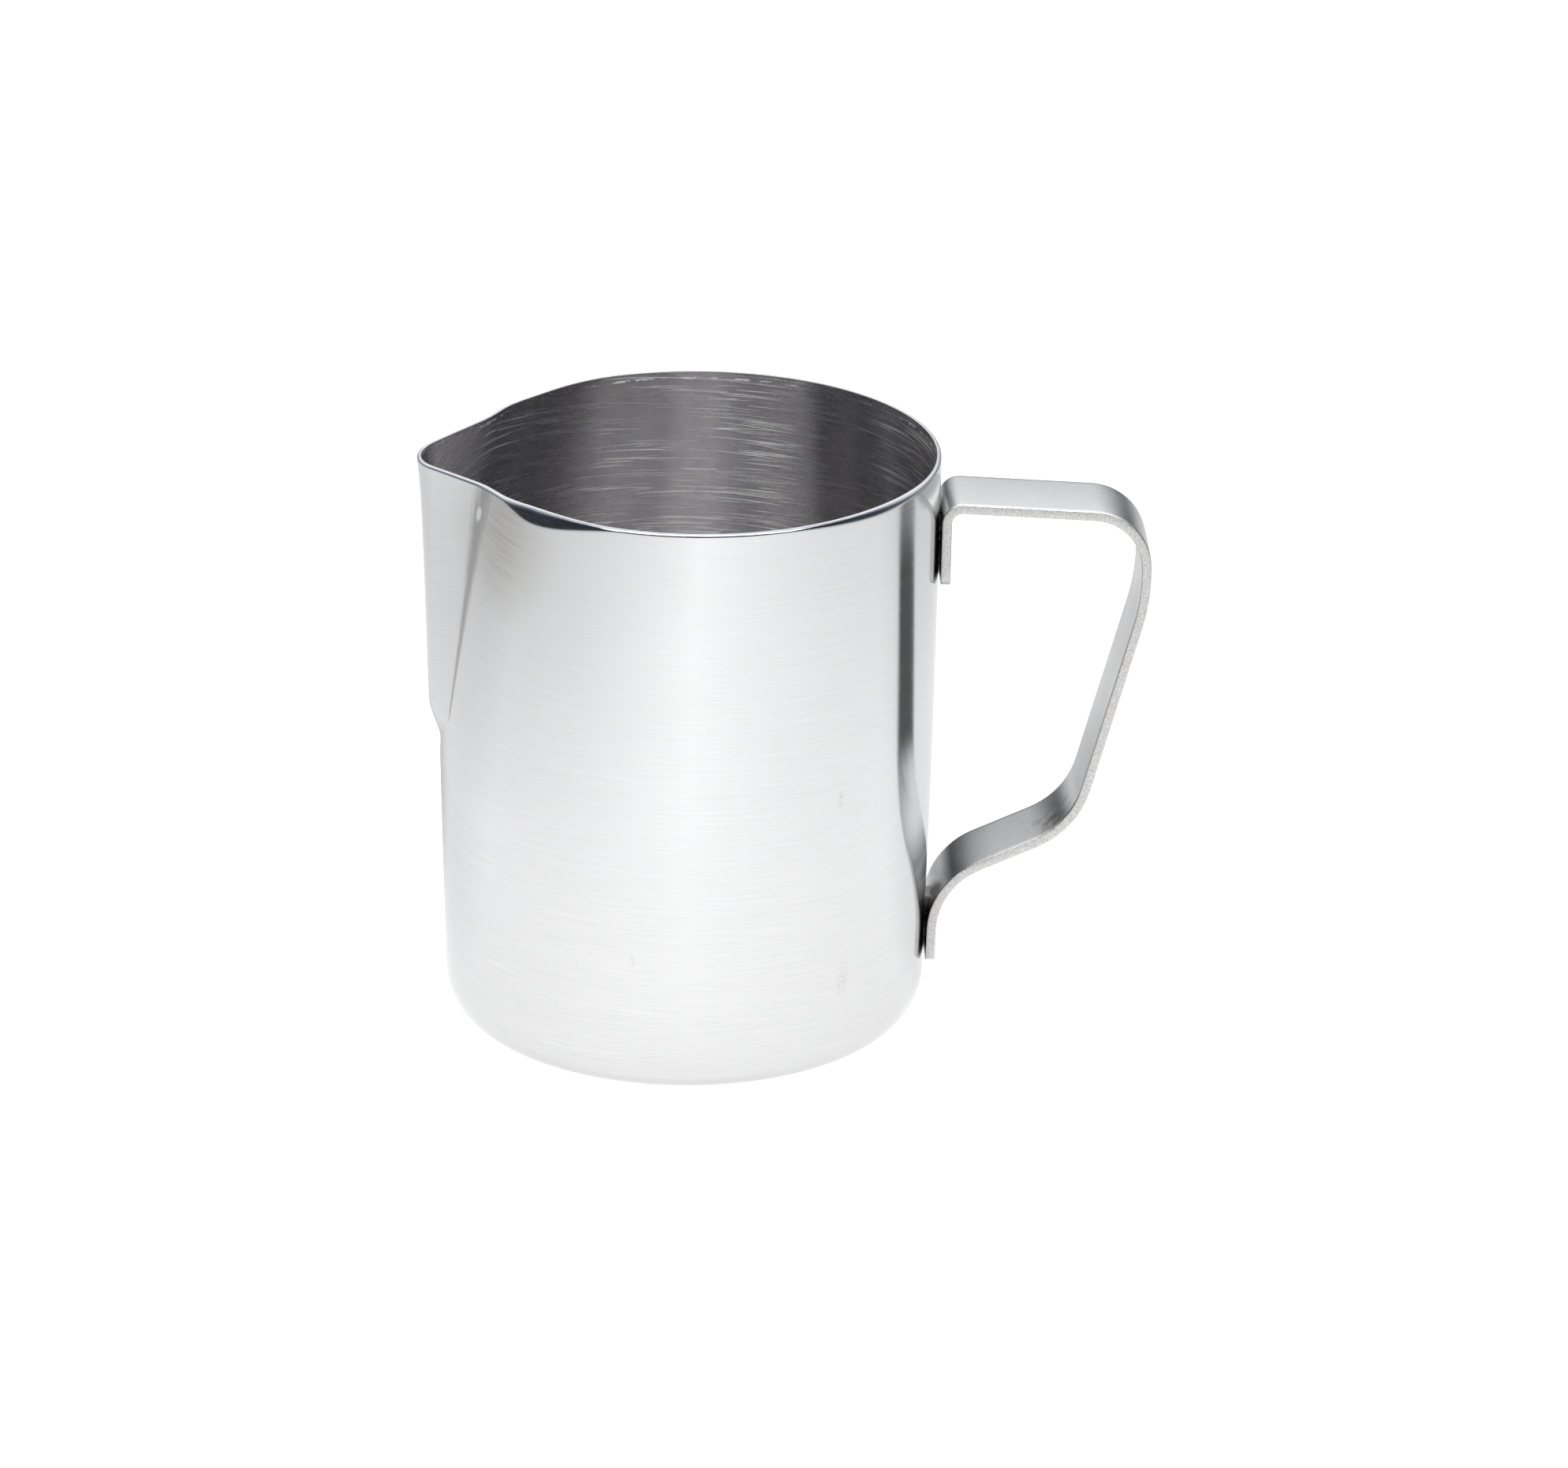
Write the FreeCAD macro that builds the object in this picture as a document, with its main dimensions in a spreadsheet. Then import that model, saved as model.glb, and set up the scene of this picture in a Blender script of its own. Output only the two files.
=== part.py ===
"""Stainless steel milk frothing pitcher, 0.6 l: a deep drawn body with a pressed pouring spout
and a bent flat strip handle that is spot welded to the wall.

Frame: millimetres, +Z up, origin at the centre of the ring that the pitcher stands on.
The handle points along +X and the spout along -X.
"""
import FreeCAD, Part
import os
import sys
from math import asin, cos, pi, radians, sin, sqrt

import Sketcher

# ---------------------------------------------------------------- driving dimensions (mm, degrees)
DIMENSIONS = {
    # drawn body, outer surface
    "body_height": 108.0,          # rim above the surface it stands on
    "rim_radius": 45.3,            # outer radius at the rim, handle side
    "base_radius": 43.35,          # the wall's outer radius carried down to height 0
    "wall_bulge": 0.35,            # how far the wall stands proud of a straight taper
    "wall_sheet": 0.8,             # sheet thickness
    "corner_radius": 9.0,          # outer radius between the base and the wall
    "ring_inner_radius": 29.0,     # inner edge of the ring that it stands on
    "panel_radius": 26.5,          # edge of the raised middle of the base
    "panel_rise": 0.9,             # how far the middle of the base is pressed up
    "rim_dip": 1.0,                # how far the rim sinks at the tip of the spout
    "dip_start": 20.0,             # distance behind the axis where the rim starts to sink
    # pressed spout
    "spout_foot": 50.0,            # height where the spout starts to leave the round wall
    "spout_start": 1.0,            # from the foot to where its ridge starts to come out
    "spout_tuck": 0.6,             # how far inside the wall the ridge starts
    "spout_rise": 10.0,            # height over which its ridge comes out
    "spout_reach": 1.65,           # ridge in front of the round wall, low down
    "spout_flare": 1.05,           # further reach gained evenly up to the rim
    "spout_lip": 0.7,              # further reach gained in a short curl just under the rim
    "spout_tip_radius": 11.0,      # rounding of the ridge, seen from above
    "spout_angle_top": 50.0,       # side of the spout to the middle plane at the rim
    "spout_angle_gain": 0.36,      # degrees that the side opens per mm further down
    "shoulder_squeeze": 4.7,       # how far the walls beside the spout are drawn in at the rim
    "shoulder_angle": 65.0,        # from the handle, where the drawn in wall starts
    "crease_top": 1.2,             # blend between spout and wall at the rim
    "crease_foot": 0.35,           # blend between spout and wall at the spout's foot
    # handle: one flat strip, bent; corners of its centre line in the X Z plane
    "strip_width": 16.0,
    "strip_thickness": 1.9,
    "strip_edge_round": 0.28,
    "foot_gap": 0.03,              # the strip rests on the highest line of the round wall
    "upper_foot_end": 84.9,        # height of the end of the upper foot
    "upper_bend_height": 99.75,
    "upper_bend_round": 2.8,
    "top_bend_reach": 81.95,
    "top_bend_height": 97.8,
    "top_bend_round": 10.0,
    "grip_bend_reach": 82.3,
    "grip_bend_height": 82.3,
    "grip_bend_round": 38.0,
    "low_bend_reach": 70.3,
    "low_bend_height": 38.4,
    "low_bend_round": 16.0,
    "lower_bend_height": 27.1,
    "lower_bend_round": 14.0,
    "lower_foot_end": 11.9,
    # resistance spot welds, two under each foot
    "weld_diameter": 4.5,
    "weld_depth_wall": 0.4,        # how deep a nugget reaches into the wall
    "weld_depth_strip": 1.0,       # how deep a nugget reaches into the strip
    "upper_weld_height": 88.6,
    "lower_weld_height": 15.6,
    "weld_pitch": 5.6,             # distance between the two welds of a foot
    # the skins run on above the rim, and this is cut off there
    "over_rim": 4.0,
    "trim_reach": 60.0,            # the cut's reach to each side of the axis
}

SPOUT_HEIGHTS = (0.06, 0.12, 0.18, 0.3, 0.5, 0.7, 0.85, 0.93, 1.0)   # parts of spout foot to rim
SQUEEZE_POWER = 1.3                # how the flanks are drawn in with height
FLARE_POWER = 1.2                  # how the flare grows with height
LIP_POWER = 10                     # how late and sharply the lip curls out
SPOUT_STEP = 3                     # degrees between points near the spout
ROUND_STEP = 9                     # degrees between points on the round side
SPOUT_HALF = 45                    # degrees to each side of the spout with the finer step
SMALL_TURN = 1e-4                  # radians, for the slope of a section
SAME_PLACE = 1e-6

doc = FreeCAD.newDocument("milk_frothing_pitcher")


def make_sheet():
    """The spreadsheet with every driving dimension under its own alias."""
    sheet = doc.addObject("Spreadsheet::Sheet", "sizes")
    for row, (alias, value) in enumerate(DIMENSIONS.items(), start=1):
        sheet.set(f"A{row}", alias)
        sheet.set(f"B{row}", str(value))
        sheet.setAlias(f"B{row}", alias)
    doc.recompute()
    return sheet


sheet = make_sheet()


def size(alias):
    """A driving dimension, as a number, from the sheet."""
    return float(sheet.get(alias))


def wall_radius(height):
    """Outer radius of the round wall at a height."""
    part = height / size("body_height")
    straight = size("base_radius") + (size("rim_radius") - size("base_radius")) * part
    return straight + 4 * size("wall_bulge") * part * (1 - part)


def wall_radius_expression(height):
    """The same radius as an expression on the sheet; height is an expression too."""
    part = f"({height} / sizes.body_height)"
    straight = f"(sizes.base_radius + (sizes.rim_radius - sizes.base_radius) * {part})"
    return f"({straight} + 4 * sizes.wall_bulge * {part} * (1 - {part}))"


# ---------------------------------------------------------------- the spout's horizontal section
def smooth_step(value):
    value = min(max(value, 0.0), 1.0)
    return value * value * (3 - 2 * value)


def spout_part(height):
    """How far up a height is, from 0 at the spout's foot to 1 at the rim, and on above it."""
    return max(height - size("spout_foot"), 0.0) / (size("body_height") - size("spout_foot"))


def drawn_in_wall(angle, height):
    """Polar radius of the wall, whose flanks beside the spout are drawn in; angle from the handle."""
    radius = wall_radius(height)
    squeeze = size("shoulder_squeeze") * spout_part(height) ** SQUEEZE_POWER
    start = radians(size("shoulder_angle"))
    if abs(angle) <= start:
        return radius
    along = squeeze * cos(abs(angle) - start)
    return along + sqrt((radius - squeeze) ** 2 - squeeze ** 2 + along ** 2)


def spout_nose(from_spout, height):
    """Polar radius of the spout: a V with a rounded ridge; from_spout is the angle to the spout."""
    part = spout_part(height)
    out = smooth_step((height - size("spout_foot") - size("spout_start")) / size("spout_rise"))
    flare = size("spout_flare") * part ** FLARE_POWER + size("spout_lip") * part ** LIP_POWER
    tip = wall_radius(height) - size("spout_tuck") * (1 - out) + (size("spout_reach") + flare) * out
    below_rim = size("body_height") - height
    side = radians(size("spout_angle_top") + size("spout_angle_gain") * below_rim)
    round_radius = size("spout_tip_radius")
    centre = tip - round_radius
    nearest = pi / 2 - side                      # direction in which the side is nearest the axis
    ridge_end = asin(round_radius * sin(nearest) / sqrt(
        (centre + round_radius * cos(nearest)) ** 2 + (round_radius * sin(nearest)) ** 2))
    if from_spout <= ridge_end:
        return centre * cos(from_spout) + sqrt(round_radius ** 2 - (centre * sin(from_spout)) ** 2)
    flat = centre * cos(nearest) + round_radius
    if from_spout <= nearest:
        return flat / cos(nearest - from_spout)
    return flat * cos(min(from_spout - nearest, pi / 2))


def skin_radius(angle, height):
    """Polar radius of the outer surface, wall and spout blended along a crease."""
    wall = drawn_in_wall(angle, height)
    nose = spout_nose(pi - abs(angle), height)
    part = min(spout_part(height), 1.0)
    blend = size("crease_foot") + (size("crease_top") - size("crease_foot")) * part
    share = min(max(0.5 + 0.5 * (nose - wall) / blend, 0.0), 1.0)
    return wall + (nose - wall) * share + blend * share * (1 - share)


def section_angles():
    """Angles of the points of a section, closer together around the spout."""
    round_half = 180 - SPOUT_HALF
    handle_side = [float(a) for a in range(0, round_half, ROUND_STEP)]
    spout_side = [float(a) for a in range(round_half, 180, SPOUT_STEP)]
    half = handle_side + spout_side
    return [radians(a) for a in half] + [pi] + [radians(360 - a) for a in reversed(half[1:])]


def section_wire(height, inset):
    """A closed smooth curve at a height; inset moves it in along its normal by the sheet."""
    angles = section_angles()
    points = []
    for angle in angles:
        signed = angle if angle <= pi else angle - 2 * pi
        radius = skin_radius(signed, height)
        before, after = skin_radius(signed - SMALL_TURN, height), skin_radius(signed + SMALL_TURN, height)
        slope = (after - before) / (2 * SMALL_TURN)
        radius -= inset * sqrt(1 + (slope / radius) ** 2)
        points.append(FreeCAD.Vector(radius * cos(angle), radius * sin(angle), height))
    curve = Part.BSplineCurve()
    curve.interpolate(Points=points, PeriodicFlag=True, Parameters=angles + [2 * pi])
    return Part.Wire([curve.toShape()])


def spout_skin(name, inset):
    """Closed solid from the spout's foot to above the rim; its lowest section is a true circle."""
    foot, top = size("spout_foot"), size("body_height")
    circle = Part.Circle(FreeCAD.Vector(0, 0, foot), FreeCAD.Vector(0, 0, 1), wall_radius(foot) - inset)
    wires = [Part.Wire([circle.toShape()])]
    for part in SPOUT_HEIGHTS:
        wires.append(section_wire(foot + (top - foot) * part, inset))
    wires.append(section_wire(top + size("over_rim"), inset))
    feature = doc.addObject("Part::Feature", name)
    feature.Shape = Part.makeLoft(wires, True, False)
    return feature


# ---------------------------------------------------------------- sketch and body helpers
def make_body(name):
    return doc.addObject("PartDesign::Body", name)


def sketch_on(body, name, role, offset=None):
    """A sketch on one of a body's own origin planes; offset is an expression along the normal."""
    sketch = body.newObject("Sketcher::SketchObject", name)
    plane = next(f for f in body.Origin.OriginFeatures if f.Role == role)
    sketch.AttachmentSupport = [(plane, "")]
    sketch.MapMode = "FlatFace"
    if offset:
        sketch.setExpression("AttachmentOffset.Base.z", offset)
    return sketch


def bind(sketch, values, expression):
    """Add a dimension to a sketch and tie its value to an expression."""
    index = sketch.addConstraint(Sketcher.Constraint(*values))
    sketch.setExpression(f"Constraints[{index}]", expression)


def fix_point(sketch, geometry, position, place, expressions):
    """Hold a point at a place, measured from the sketch's origin."""
    bind(sketch, ("DistanceX", -1, 1, geometry, position, place[0]), expressions[0])
    bind(sketch, ("DistanceY", -1, 1, geometry, position, place[1]), expressions[1])


def flat(x, y):
    return FreeCAD.Vector(x, y, 0)


def set_expressions(feature, expressions):
    for name, expression in expressions.items():
        feature.setExpression(name, expression)


def vertical_limits(edge):
    return edge.BoundBox.ZMin, edge.BoundBox.ZMax


# ---------------------------------------------------------------- body below the spout
def round_cup(name, inset):
    """Closed solid of the round lower body with its pressed base; inset is an expression."""
    body = make_body(name)
    cone = body.newObject("PartDesign::AdditiveCone", name + "_wall")
    set_expressions(cone, {
        "Radius1": wall_radius_expression(inset) + f" - {inset}",
        "Radius2": wall_radius_expression("sizes.spout_foot") + f" - {inset}",
        "Height": f"sizes.spout_foot - {inset}",
        "Placement.Base.z": inset,
    })
    doc.recompute()
    lowest = cone.Shape.BoundBox.ZMin
    rims = [f"Edge{i}" for i, edge in enumerate(cone.Shape.Edges, start=1)
            if max(abs(z - lowest) for z in vertical_limits(edge)) < SAME_PLACE]
    corner = body.newObject("PartDesign::Fillet", name + "_corner")
    corner.Base = (cone, rims)
    corner.setExpression("Radius", f"sizes.corner_radius - {inset}")
    doc.recompute()
    panel = body.newObject("PartDesign::SubtractiveCone", name + "_panel")
    set_expressions(panel, {
        "Radius1": "sizes.ring_inner_radius",
        "Radius2": "sizes.panel_radius",
        "Height": "sizes.panel_rise",
        "Placement.Base.z": inset,
    })
    doc.recompute()
    return body


def rim_trim():
    """What lies above the rim: flat over the body, sinking in an arc over the spout."""
    body = make_body("rim_trim")
    sketch = sketch_on(body, "rim_line", "XZ_Plane")
    height, start, dip = size("body_height"), size("dip_start"), size("rim_dip")
    side_reach, top = size("trim_reach"), height + 2 * size("over_rim")
    reach = (size("rim_radius") + size("spout_reach") + size("spout_flare") + size("spout_lip")
             - start)
    radius = (reach ** 2 + dip ** 2) / (2 * dip)
    turn = asin((side_reach - start) / radius)
    low = height - radius * (1 - cos(turn))
    circle = Part.Circle(flat(-start, height - radius), FreeCAD.Vector(0, 0, 1), radius)
    rim, sink, side, lid, back = (sketch.addGeometry(shape) for shape in (
        Part.LineSegment(flat(side_reach, height), flat(-start, height)),
        Part.ArcOfCircle(circle, pi / 2, pi / 2 + turn),
        Part.LineSegment(flat(-side_reach, low), flat(-side_reach, top)),
        Part.LineSegment(flat(-side_reach, top), flat(side_reach, top)),
        Part.LineSegment(flat(side_reach, top), flat(side_reach, height))))
    sketch.addConstraint([
        Sketcher.Constraint("Tangent", rim, 2, sink, 1),
        Sketcher.Constraint("Coincident", sink, 2, side, 1),
        Sketcher.Constraint("Coincident", side, 2, lid, 1),
        Sketcher.Constraint("Coincident", lid, 2, back, 1),
        Sketcher.Constraint("Coincident", back, 2, rim, 1),
        Sketcher.Constraint("Horizontal", rim),
        Sketcher.Constraint("Vertical", side),
        Sketcher.Constraint("Horizontal", lid),
        Sketcher.Constraint("Vertical", back)])
    spout = ("(sizes.rim_radius + sizes.spout_reach + sizes.spout_flare + sizes.spout_lip"
             " - sizes.dip_start)")
    fix_point(sketch, rim, 1, (side_reach, height), ("sizes.trim_reach", "sizes.body_height"))
    bind(sketch, ("DistanceX", rim, 2, -1, 1, start), "sizes.dip_start")
    bind(sketch, ("Radius", sink, radius), f"({spout} ^ 2 + sizes.rim_dip ^ 2) / (2 * sizes.rim_dip)")
    bind(sketch, ("DistanceX", side, 1, -1, 1, side_reach), "sizes.trim_reach")
    bind(sketch, ("DistanceY", -1, 1, lid, 1, top), "sizes.body_height + 2 * sizes.over_rim")
    pad = body.newObject("PartDesign::Pad", "rim_trim_pad")
    pad.Profile = sketch
    pad.Midplane = True
    pad.setExpression("Length", "4 * sizes.rim_radius")
    doc.recompute()
    return body


def fuse(name, shapes):
    feature = doc.addObject("Part::MultiFuse", name)
    feature.Shapes = shapes
    return feature


def cut(name, base, tool):
    feature = doc.addObject("Part::Cut", name)
    feature.Base = base
    feature.Tool = tool
    return feature


def pitcher_body(welds):
    """The drawn and pressed shell, one sheet thickness everywhere, with seats for the welds."""
    outside = fuse("body_outside", [round_cup("cup_outside", "0"), spout_skin("spout_outside", 0.0)])
    inside = fuse("body_inside", [round_cup("cup_inside", "sizes.wall_sheet"),
                                  spout_skin("spout_inside", size("wall_sheet"))])
    shell = cut("body_untrimmed", outside, inside)
    trimmed = cut("body_trimmed", shell, rim_trim())
    for number, weld in enumerate(welds, start=1):
        trimmed = cut(f"body_weld_seats_{number}", trimmed, weld)
    trimmed.Label = "pitcher_body"
    return trimmed


# ---------------------------------------------------------------- spot welds
def spot_welds(label, height_alias):
    """Two nuggets, one above the other on the middle line of a foot, half in wall and strip."""
    nuggets = []
    for number in (0, 1):
        height = f"(sizes.{height_alias} + {number} * sizes.weld_pitch)"
        nugget = doc.addObject("Part::Cylinder", f"{label}_{number + 1}")
        nugget.Placement = FreeCAD.Placement(FreeCAD.Vector(), FreeCAD.Rotation(FreeCAD.Vector(0, 1, 0), 90))
        set_expressions(nugget, {
            "Radius": "sizes.weld_diameter / 2",
            "Height": "sizes.weld_depth_wall + sizes.foot_gap + sizes.weld_depth_strip",
            "Placement.Base.x": wall_radius_expression(height) + " - sizes.weld_depth_wall",
            "Placement.Base.z": height,
        })
        nuggets.append(nugget)
    group = doc.addObject("Part::Compound", label)
    group.Links = nuggets
    return group


# ---------------------------------------------------------------- handle
def strip_corner_places():
    """Corners of the strip's centre line, as expressions for X and Z and the bend's radius."""
    out = "sizes.foot_gap + sizes.strip_thickness / 2"
    beside_wall = {name: f"{wall_radius_expression('sizes.' + name)} + {out}"
                   for name in ("upper_foot_end", "upper_bend_height",
                                "lower_bend_height", "lower_foot_end")}
    return [
        (beside_wall["upper_foot_end"], "sizes.upper_foot_end", None),
        (beside_wall["upper_bend_height"], "sizes.upper_bend_height", "sizes.upper_bend_round"),
        ("sizes.top_bend_reach", "sizes.top_bend_height", "sizes.top_bend_round"),
        ("sizes.grip_bend_reach", "sizes.grip_bend_height", "sizes.grip_bend_round"),
        ("sizes.low_bend_reach", "sizes.low_bend_height", "sizes.low_bend_round"),
        (beside_wall["lower_bend_height"], "sizes.lower_bend_height", "sizes.lower_bend_round"),
        (beside_wall["lower_foot_end"], "sizes.lower_foot_end", None),
    ]


def strip_corners():
    """The same corners as numbers: place and radius."""
    out = size("foot_gap") + size("strip_thickness") / 2

    def beside_wall(alias):
        return flat(wall_radius(size(alias)) + out, size(alias))

    def corner(name):
        return flat(size(name + "_reach"), size(name + "_height"))

    return [
        (beside_wall("upper_foot_end"), 0.0),
        (beside_wall("upper_bend_height"), size("upper_bend_round")),
        (corner("top_bend"), size("top_bend_round")),
        (corner("grip_bend"), size("grip_bend_round")),
        (corner("low_bend"), size("low_bend_round")),
        (beside_wall("lower_bend_height"), size("lower_bend_round")),
        (beside_wall("lower_foot_end"), 0.0),
    ]


def bend(before, corner, after, radius):
    """Where an arc of a radius touches the two lines of a corner, and whether it turns left."""
    into, out = (corner - before).normalize(), (after - corner).normalize()
    half_turn = into.getAngle(out) / 2
    reach = radius * sin(half_turn) / cos(half_turn)
    start, end = corner - into * reach, corner + out * reach
    left = into.cross(out).z > 0
    centre = start + FreeCAD.Vector(-into.y, into.x, 0) * (radius if left else -radius)
    return start, end, centre, left


def strip_path(body):
    """The handle's centre line: straight runs joined by bends."""
    sketch = sketch_on(body, "handle_path", "XZ_Plane")
    corners, places = strip_corners(), strip_corner_places()
    last = len(corners) - 1
    bends = [bend(corners[i - 1][0], corners[i][0], corners[i + 1][0], corners[i][1])
             for i in range(1, last)]
    stops = [corners[0][0]] + [point for b in bends for point in b[:2]] + [corners[last][0]]
    runs = [sketch.addGeometry(Part.LineSegment(stops[i], stops[i + 1])) for i in range(0, len(stops), 2)]
    for number, (start, end, centre, left) in enumerate(bends):
        first, second = (start, end) if left else (end, start)
        circle = Part.Circle(centre, FreeCAD.Vector(0, 0, 1), (start - centre).Length)
        arc = sketch.addGeometry(Part.ArcOfCircle(circle, circle.parameter(first), circle.parameter(second)))
        knot = sketch.addGeometry(Part.Point(corners[number + 1][0]), True)
        x, z, radius = places[number + 1]
        enter, leave = (1, 2) if left else (2, 1)
        sketch.addConstraint([
            Sketcher.Constraint("Tangent", runs[number], 2, arc, enter),
            Sketcher.Constraint("Tangent", runs[number + 1], 1, arc, leave),
            Sketcher.Constraint("PointOnObject", knot, 1, runs[number]),
            Sketcher.Constraint("PointOnObject", knot, 1, runs[number + 1])])
        bind(sketch, ("Radius", arc, corners[number + 1][1]), radius)
        fix_point(sketch, knot, 1, corners[number + 1][0], (x, z))
    fix_point(sketch, runs[0], 1, corners[0][0], places[0][:2])
    fix_point(sketch, runs[-1], 2, corners[last][0], places[last][:2])
    return sketch


def strip_section(body):
    """The strip's cross-section, with its four long edges rounded, at the upper foot's end."""
    sketch = sketch_on(body, "handle_section", "XY_Plane", "sizes.upper_foot_end")
    middle = strip_corners()[0][0].x
    thick, wide, edge = size("strip_thickness"), size("strip_width"), size("strip_edge_round")
    half_x, half_y = thick / 2 - edge, wide / 2
    quarter = [(middle + half_x, half_y - edge, 0), (middle - half_x, half_y - edge, 90),
               (middle - half_x, edge - half_y, 180), (middle + half_x, edge - half_y, 270)]
    arcs = []
    for x, y, first in quarter:
        circle = Part.Circle(flat(x, y), FreeCAD.Vector(0, 0, 1), edge)
        arcs.append(sketch.addGeometry(Part.ArcOfCircle(circle, radians(first), radians(first + 90))))
    sides = []
    for i, arc in enumerate(arcs):
        start = sketch.Geometry[arc].EndPoint
        end = sketch.Geometry[arcs[(i + 1) % 4]].StartPoint
        sides.append(sketch.addGeometry(Part.LineSegment(start, end)))
        sketch.addConstraint(Sketcher.Constraint("Tangent", arc, 2, sides[i], 1))
    for i, side in enumerate(sides):
        sketch.addConstraint(Sketcher.Constraint("Tangent", side, 2, arcs[(i + 1) % 4], 1))
    for arc in arcs[1:]:
        sketch.addConstraint(Sketcher.Constraint("Equal", arcs[0], arc))
    sketch.addConstraint(Sketcher.Constraint("Horizontal", sides[0]))
    sketch.addConstraint(Sketcher.Constraint("Vertical", sides[1]))
    sketch.addConstraint(Sketcher.Constraint("Symmetric", sides[0], 1, sides[2], 2, -1))
    place = strip_corner_places()[0][0]
    bind(sketch, ("Radius", arcs[0], edge), "sizes.strip_edge_round")
    bind(sketch, ("DistanceY", sides[2], 1, sides[0], 1, wide), "sizes.strip_width")
    bind(sketch, ("DistanceX", sides[1], 1, sides[3], 1, thick), "sizes.strip_thickness")
    bind(sketch, ("DistanceX", -1, 1, sides[3], 1, middle + thick / 2),
         f"{place} + sizes.strip_thickness / 2")
    return sketch


def handle(welds):
    """The bent strip handle, with seats for the welds in both feet."""
    body = make_body("handle_strip")
    path, section = strip_path(body), strip_section(body)
    doc.recompute()
    pipe = body.newObject("PartDesign::AdditivePipe", "handle_sweep")
    pipe.Profile = section
    pipe.Spine = (path, [f"Edge{i + 1}" for i in range(len(path.Shape.Edges))])
    pipe.Mode = "Standard"
    doc.recompute()
    strip = body
    for number, weld in enumerate(welds, start=1):
        strip = cut(f"handle_weld_seats_{number}", strip, weld)
    strip.Label = "handle"
    return strip


# ---------------------------------------------------------------- checks and export
def check(parts):
    """Stop if anything in the document failed or a part isn't a sound solid."""
    failed = [item.Name for item in doc.Objects if {"Invalid", "Error"} & set(item.State)]
    for item in parts:
        shape = item.Shape
        if shape.isNull() or not shape.isValid() or shape.Volume <= 0:
            failed.append(item.Label)
    if failed:
        sys.exit("failed: " + ", ".join(failed))


def export(parts):
    os.makedirs("parts", exist_ok=True)
    for item in parts:
        item.Shape.exportStep(f"parts/{item.Label}.step")
        print(item.Label, "solids", len(item.Shape.Solids), "volume", round(item.Shape.Volume, 2))


upper_welds = spot_welds("upper_spot_welds", "upper_weld_height")
lower_welds = spot_welds("lower_spot_welds", "lower_weld_height")
both_welds = [upper_welds, lower_welds]
parts = [pitcher_body(both_welds), handle(both_welds), upper_welds, lower_welds]
doc.recompute()
check(parts)
export(parts)
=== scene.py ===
"""A milk frothing pitcher on a pale studio floor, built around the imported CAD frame.

Metres, +Z up, the handle along +X and the spout along -X. The body and the handle are modelled
here from the same driving dimensions as the CAD, in millimetres, and scaled once.
"""

from math import asin, atan, cos, hypot, pi, radians, sin, sqrt, tan

import bmesh
import bpy
from mathutils import Matrix, Vector


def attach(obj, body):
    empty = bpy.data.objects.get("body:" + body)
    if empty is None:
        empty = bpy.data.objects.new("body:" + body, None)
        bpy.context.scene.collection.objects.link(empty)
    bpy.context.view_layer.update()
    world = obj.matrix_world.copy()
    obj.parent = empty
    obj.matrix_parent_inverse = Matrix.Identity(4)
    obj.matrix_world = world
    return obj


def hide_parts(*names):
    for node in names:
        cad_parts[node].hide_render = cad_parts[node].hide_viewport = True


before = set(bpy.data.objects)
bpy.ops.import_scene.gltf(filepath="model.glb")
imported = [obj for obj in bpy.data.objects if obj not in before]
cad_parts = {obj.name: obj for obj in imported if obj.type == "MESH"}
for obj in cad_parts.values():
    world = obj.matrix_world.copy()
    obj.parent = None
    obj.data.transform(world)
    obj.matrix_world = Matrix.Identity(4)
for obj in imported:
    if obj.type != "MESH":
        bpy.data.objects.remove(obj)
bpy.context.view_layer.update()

MM = 0.001
scene = bpy.context.scene

# ---------------------------------------------------------------- driving dimensions (mm, degrees)
BODY_HEIGHT = 108.0
RIM_RADIUS = 45.3
BASE_RADIUS = 43.35             # of the wall's line, where it would meet the table
WALL_BULGE = 0.35               # how far the wall bows out at half height
SHEET = 0.8
CORNER_RADIUS = 9.0             # outside radius between wall and base
RING_INNER = 29.0               # inner edge of the ring that the pitcher stands on
PANEL_RADIUS = 26.5             # raised middle of the base
PANEL_RISE = 0.9
PANEL_EASE = 0.4                # how far the slope between those two radii reaches past them
RIM_DIP = 1.0                   # how far the rim sinks at the spout's tip
DIP_START = 20.0                # distance from the axis at which it starts to sink
RIM_INSIDE = 0.28               # rounding of the rim's inner edge
RIM_OUTSIDE = 0.42              # how far in the rim's rounded outer edge reaches
ROLL_HEIGHT = 0.55              # how far down that rounding reaches
ROLL_SHOULDER = 0.3             # and how much further on the spout's shoulders
ROLL_FOOT = 104.5               # height below which the rows don't follow the rounding
TURN_IN_SLOPE = 0.42            # lean of the band under the rim
TURN_IN_START = 0.8             # height over which the lean begins
TURN_IN_HEIGHT = 0.7            # height of that band at the front and the back
TURN_IN_SHOULDER = 2.1          # how much more on the spout's shoulders
TURN_IN_SIDE = 0.8              # and how much more around SIDE_ANGLE
SIDE_ANGLE = -42.0
SIDE_REACH = 30.0
EDGE_ROWS = 20                  # rim rows, from the lowest, that still have the wall's finish
FAR_FROM_CREASE = 50.0          # distance that stands for anywhere away from the crease

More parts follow.
